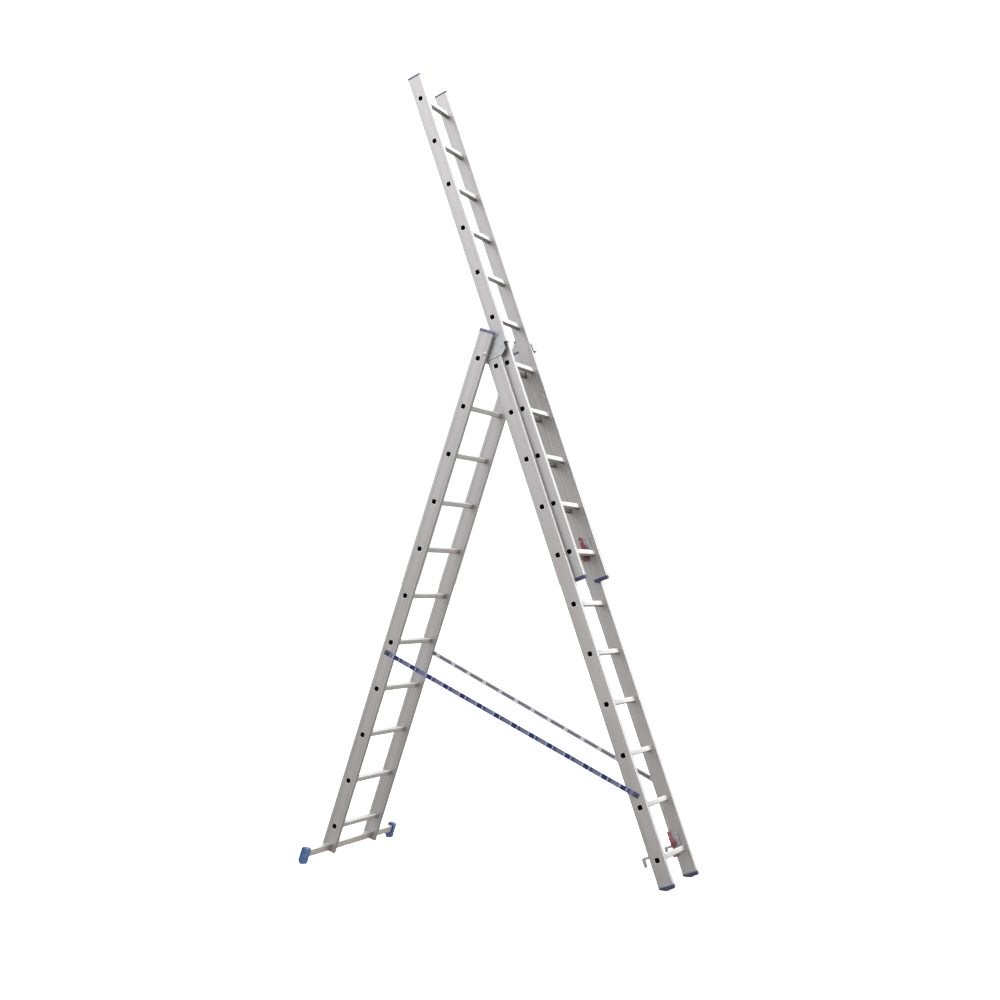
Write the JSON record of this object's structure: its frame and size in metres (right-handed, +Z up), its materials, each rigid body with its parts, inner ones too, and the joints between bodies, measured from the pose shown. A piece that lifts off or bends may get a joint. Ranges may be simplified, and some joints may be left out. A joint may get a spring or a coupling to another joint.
{
  "type": "extension ladder",
  "caption": "Aluminium extension ladder standing as an A-frame with its fly section raised, with a stabiliser bar, spreader straps, rung hooks and safety latches.",
  "frame": {"origin": "centre of the bounding box on the floor, under the standing ladder", "axes": "+Z up, +X towards the front leg that is climbed and that carries the fly, +Y along the rungs"},
  "size_m": [2.1255, 0.992, 4.5406],
  "materials": {
    "stiles": "satin",
    "rungs": "satin",
    "steel": "satin",
    "plastic_blue": "matte",
    "rubber_feet": "matte",
    "latches": "matte",
    "webbing": "matte"
  },
  "bodies": {
    "section_a": {"stile_a_left": "stiles", "stile_a_right": "stiles", "rung_a_01": "rungs", "rung_a_02": "rungs", "rung_a_03": "rungs", "rung_a_04": "rungs", "rung_a_05": "rungs", "rung_a_06": "rungs", "rung_a_07": "rungs", "rung_a_08": "rungs", "rung_a_09": "rungs", "rung_a_10": "rungs", "rung_a_11": "rungs", "stabiliser_bar": "stiles", "stabiliser_foot_left": "plastic_blue", "stabiliser_foot_right": "plastic_blue", "hinge_bolt_left": "steel", "hinge_bolt_right": "steel", "strap_left": "webbing", "strap_right": "webbing"},
    "section_b": {"stile_b_left": "stiles", "stile_b_right": "stiles", "rung_b_01": "rungs", "rung_b_02": "rungs", "rung_b_03": "rungs", "rung_b_04": "rungs", "rung_b_05": "rungs", "rung_b_06": "rungs", "rung_b_07": "rungs", "rung_b_08": "rungs", "rung_b_09": "rungs", "rung_b_10": "rungs", "rung_b_11": "rungs", "foot_b_left": "rubber_feet", "foot_b_right": "rubber_feet", "guide_left": "steel", "guide_right": "steel", "hook_b_left": "steel", "hook_b_right": "steel"},
    "section_c": {"stile_c_left": "stiles", "stile_c_right": "stiles", "rung_c_01": "rungs", "rung_c_02": "rungs", "rung_c_03": "rungs", "rung_c_04": "rungs", "rung_c_05": "rungs", "rung_c_06": "rungs", "rung_c_07": "rungs", "rung_c_08": "rungs", "rung_c_09": "rungs", "rung_c_10": "rungs", "rung_c_11": "rungs", "hook_c_left": "steel", "hook_c_right": "steel", "cap_c_top_left": "plastic_blue", "cap_c_top_right": "plastic_blue"},
    "latch_b_left_body": {"latch_b_left": "latches"},
    "latch_b_right_body": {"latch_b_right": "latches"},
    "latch_c_left_body": {"latch_c_left": "latches"},
    "latch_c_right_body": {"latch_c_right": "latches"}
  },
  "joints": [
    {"name": "frame_hinge", "type": "hinge", "parent": "section_b", "child": "section_a", "pos_m": [-0.0396, 0, 2.8513], "axis": [0, 1, 0], "range_deg": [-38.49, 0], "deforming": ["strap_left", "strap_right"]},
    {"name": "fly_slide", "type": "slide", "parent": "section_b", "child": "section_c", "axis": [-0.3402, 0, 0.9403], "range_m": [-1.68, 0]},
    {"name": "latch_b_left_pivot", "type": "hinge", "parent": "section_b", "child": "latch_b_left_body", "pos_m": [0.90966, 0, 0.21286], "axis": [0, 1, 0], "range_deg": [-9, 0]},
    {"name": "latch_b_right_pivot", "type": "hinge", "parent": "section_b", "child": "latch_b_right_body", "pos_m": [0.90966, 0, 0.21286], "axis": [0, 1, 0], "range_deg": [-9, 0]},
    {"name": "latch_c_left_pivot", "type": "hinge", "parent": "section_c", "child": "latch_c_left_body", "pos_m": [0.39264, 0, 1.81238], "axis": [0, 1, 0], "range_deg": [-9, 0]},
    {"name": "latch_c_right_pivot", "type": "hinge", "parent": "section_c", "child": "latch_c_right_body", "pos_m": [0.39264, 0, 1.81238], "axis": [0, 1, 0], "range_deg": [-9, 0]}
  ]
}
